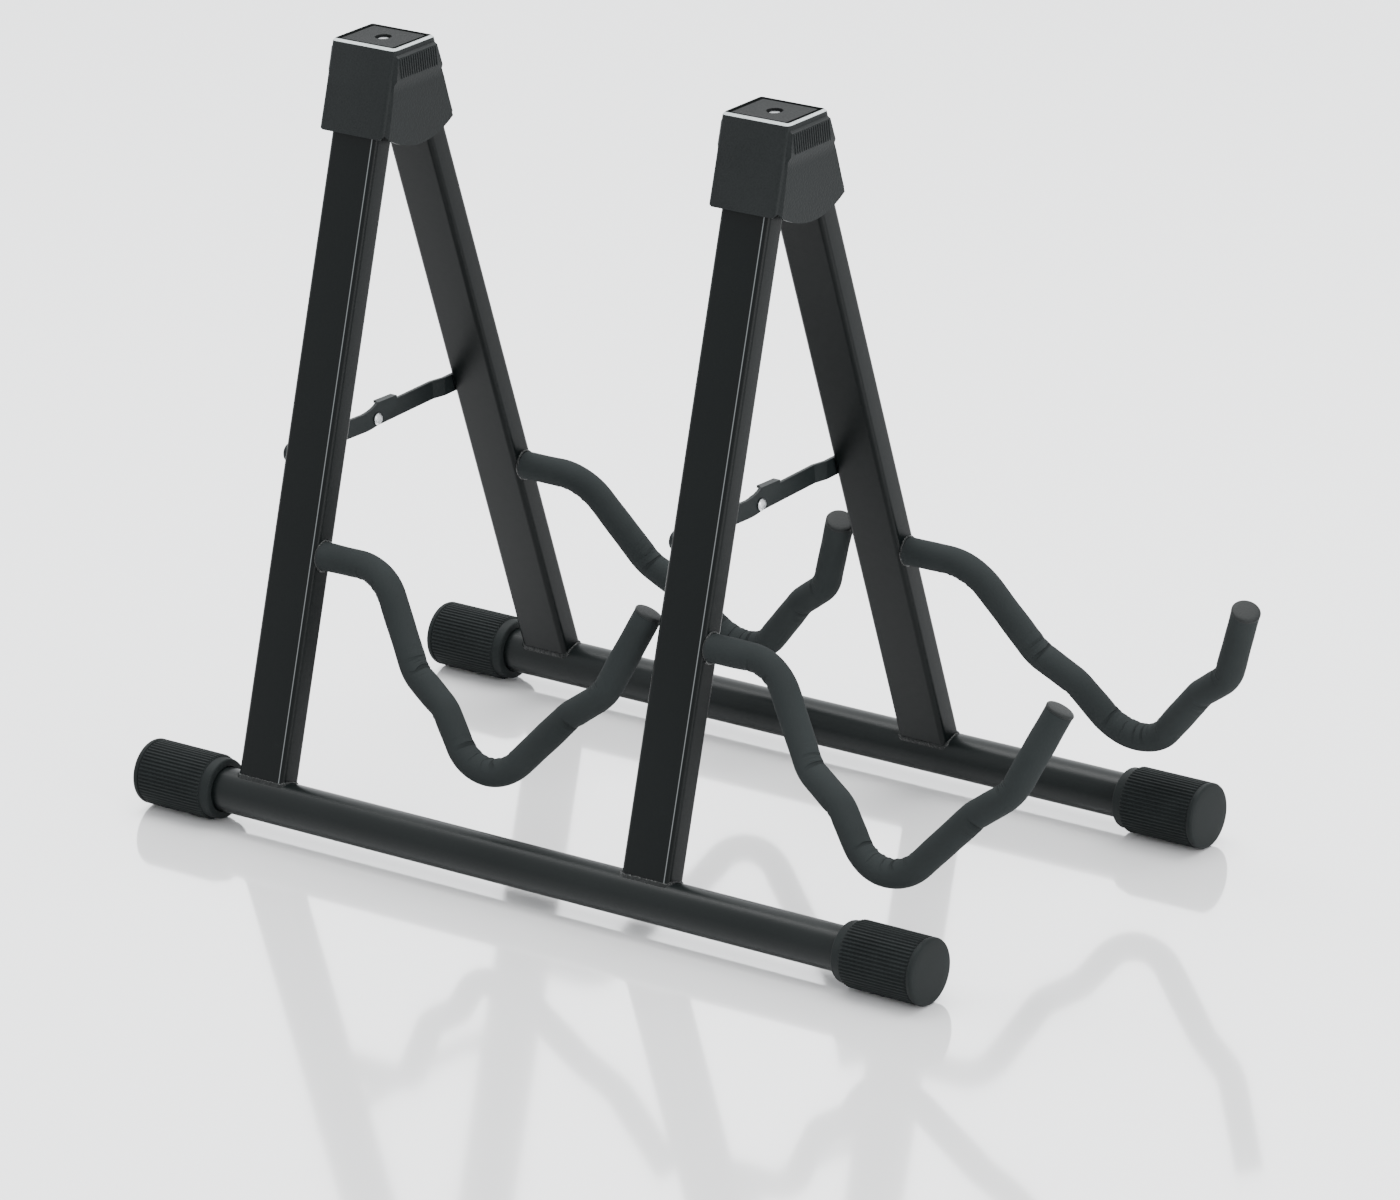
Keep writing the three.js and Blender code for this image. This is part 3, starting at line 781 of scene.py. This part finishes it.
bpy.ops.object.select_all(action="DESELECT")
bpy.ops.mesh.primitive_cube_add(size=1, location=(0, 0, (CAP_TOP + CAP_LOW) / 2 * MM))
cap = start("cap_master")
cap.scale = Vector((2 * CAP_X, 2 * LOW_HALF, CAP_TOP - CAP_LOW)) * MM
bpy.ops.object.transform_apply(location=True, rotation=True, scale=True)
bpy.ops.object.mode_set(mode="EDIT")
pick(cap, lambda p: p.z > 400)
bpy.ops.transform.resize(value=(1, TOP_HALF / LOW_HALF, 1), center_override=(0, 0, CAP_TOP * MM))
pick(cap, lambda a, b: abs(a.z - b.z) > 20, "edges")
bpy.ops.mesh.bevel(offset=CAP_CORNER * MM, segments=6)
pick(cap, lambda p, n: n.z > 0.9, "faces")
bpy.ops.mesh.bevel(offset=RIM * MM, segments=1, affect="EDGES")
for level_z in (417.6, 416.4, 404.4, 401.8, 397.0):
    pick_all()
    bpy.ops.mesh.bisect(plane_co=(0, 0, level_z * MM), plane_no=(0, 0, 1))
COLUMNS = [share / 100 for share in range(-88, 89, 11)]
for share in COLUMNS:
    pick_all()
    bpy.ops.mesh.bisect(plane_co=(0, share * TOP_HALF * MM, CAP_TOP * MM), plane_no=(0, 1, share * SLOPE))
print("cap points", len(bmesh.from_edit_mesh(cap.data).verts))

# %% Cap sides
# The lower edge sags in an arc.
INNER = 0.9                                # the shaped part's share of the side's width
for share in COLUMNS:
    y, sag = share * LOW_HALF, (CAP_LOW - CAP_DIP) * (1 - (share / INNER) ** 2)
    if pick(cap, lambda p: abs(p.x) > 21 and p.z < CAP_LOW + 0.1 and abs(p.y - y) < 0.3):
        bpy.ops.transform.translate(value=(0, 0, -sag * MM))
# The four lower corners are eased: (from this far out, how much higher).
for out, lift in ((20.0, 0.5), (21.2, 0.6), (21.9, 0.7)):
    pick(cap, lambda p: abs(p.x) > out and abs(p.y) > LOW_HALF - 3 and p.z < CAP_LOW + 1.5)
    bpy.ops.transform.translate(value=(0, 0, lift * MM))
# The side swells out behind the corner, with a step below the grip: {level: how far}.
# The side away from the guitars is nearly flat.
SWELL = {416.4: 1.7, 404.4: 2.6, 401.8: 1.2, 397.0: 1.4}
SKIRT_FLARE, FAR_SIDE = 1.8, 0.4
for way, amount in ((-1, FAR_SIDE), (1, 1.0)):
    for level_z, out in SWELL.items():
        half = INNER * (TOP_HALF + (CAP_TOP - level_z) * SLOPE)
        pick(cap, lambda p: p.x * way > CAP_X - 0.1 and abs(p.z - level_z) < 0.3 and abs(p.y) < half)
        bpy.ops.transform.translate(value=(way * amount * out * MM, 0, 0))
    pick(cap, lambda p: p.x * way > CAP_X - 0.1 and p.z < 380 and abs(p.y) < INNER * LOW_HALF)
    bpy.ops.transform.translate(value=(way * amount * SKIRT_FLARE * MM, 0, 0))

# %% Cap seat and wall
# The seat of the top pad is sunk, and the hood is opened underneath.
pick(cap, lambda p, n: n.z > 0.9 and p.z > CAP_TOP - 0.1, "faces")
bpy.ops.mesh.inset(thickness=0.5 * MM, depth=0)
bpy.ops.mesh.extrude_region_move(TRANSFORM_OT_translate={"value": (0, 0, -1.4 * MM)})
pick(cap, lambda p, n: n.z < -0.7 and p.z < 375, "faces")
bpy.ops.mesh.delete(type="FACE")
bpy.ops.object.mode_set(mode="OBJECT")
apply_modifier(cap, "SOLIDIFY", thickness=CAP_WALL * MM, offset=-1)
cap.data.materials.append(cap_plastic.material)
cap.data.materials.append(rim_plastic.material)
for face in cap.data.polygons:
    on_rim = face.center.z > (CAP_TOP - 2.3) * MM and 0.4 < abs(face.normal.z) < 0.9
    face.material_index = int(on_rim)
print("cap", [round(d / MM, 1) for d in cap.dimensions])

# %% [markdown]
# The screw sits in a round pocket under the pad, cut with a Boolean. The grip is a
# row of slim bars, each a bevelled cube, repeated by an Array.

# %% Cap pocket and grip
bpy.ops.object.select_all(action="DESELECT")
bpy.ops.mesh.primitive_cylinder_add(vertices=48, radius=4.7 * MM, depth=14 * MM,
                                    location=(0, 0, CAP_TOP * MM))
cutter = start("pocket_cutter")
apply_modifier(cap, "BOOLEAN", operation="DIFFERENCE", object=cutter)
bpy.data.objects.remove(cutter)

GRIP_BARS, GRIP_SPAN = 17, 30.4
bpy.ops.object.select_all(action="DESELECT")
bpy.ops.mesh.primitive_cube_add(size=1)
bar = start("grip_master")
bar.scale = Vector((1.3, 1.15, 11.0)) * MM
bar.location = Vector((CAP_X + 1.95, -GRIP_SPAN / 2, 410.4)) * MM
bar.rotation_euler = (0, -0.075, 0)
bpy.ops.object.transform_apply(location=True, rotation=True, scale=True)
apply_modifier(bar, "BEVEL", width=0.3 * MM, segments=2)
apply_modifier(bar, "ARRAY", count=GRIP_BARS, use_relative_offset=False, use_constant_offset=True,
               constant_offset_displace=(0, GRIP_SPAN / (GRIP_BARS - 1) * MM, 0))
print("grip bars:", len(bar.data.polygons), "faces")

# %% Two caps
FAR_GRIP_IN = 2.15 * (1 - FAR_SIDE)        # the far side swells less, so its grip sits further in
for stand, x in STAND_X.items():
    shift = Matrix.Translation((x * MM, 0, 0))
    twin = copy_of(cap, f"head_cap_{stand}_hood")
    settle(twin, f"head_{stand}", cap_plastic, [f"head_cap_{stand}"], 34, shift)
    for label, turned, inward in (("near", 0, 0), ("far", pi, FAR_GRIP_IN)):
        grip = copy_of(bar, f"grip_{label}_{stand}")
        place = shift @ Matrix.Rotation(turned, 4, "Z") @ Matrix.Translation((-inward * MM, 0, 0))
        settle(grip, f"head_{stand}", cap_plastic, (), 40, place)
bpy.data.objects.remove(cap)
bpy.data.objects.remove(bar)

# %% [markdown]
# ## Fittings
# The remaining pieces keep their engineering shape: links, rivets, pins, brackets,
# pads, screws and rods. Each gets its finish.

# %% Finishes for the fittings
FITTINGS = {
    "arm_rod": leg_paint, "brace_link": link_paint, "brace_rivet": zinc, "mid_rivet": zinc,
    "head_pin": zinc, "head_bracket": zinc, "cap_screw": zinc, "top_pad": pad_rubber,
}
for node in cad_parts:
    for kind, finish in FITTINGS.items():
        if node.startswith(kind):
            mesh = bpy.data.objects[node].data
            mesh.materials.clear()
            mesh.materials.append(finish.material)
print("fittings dressed:", sum(n.startswith(tuple(FITTINGS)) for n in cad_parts))
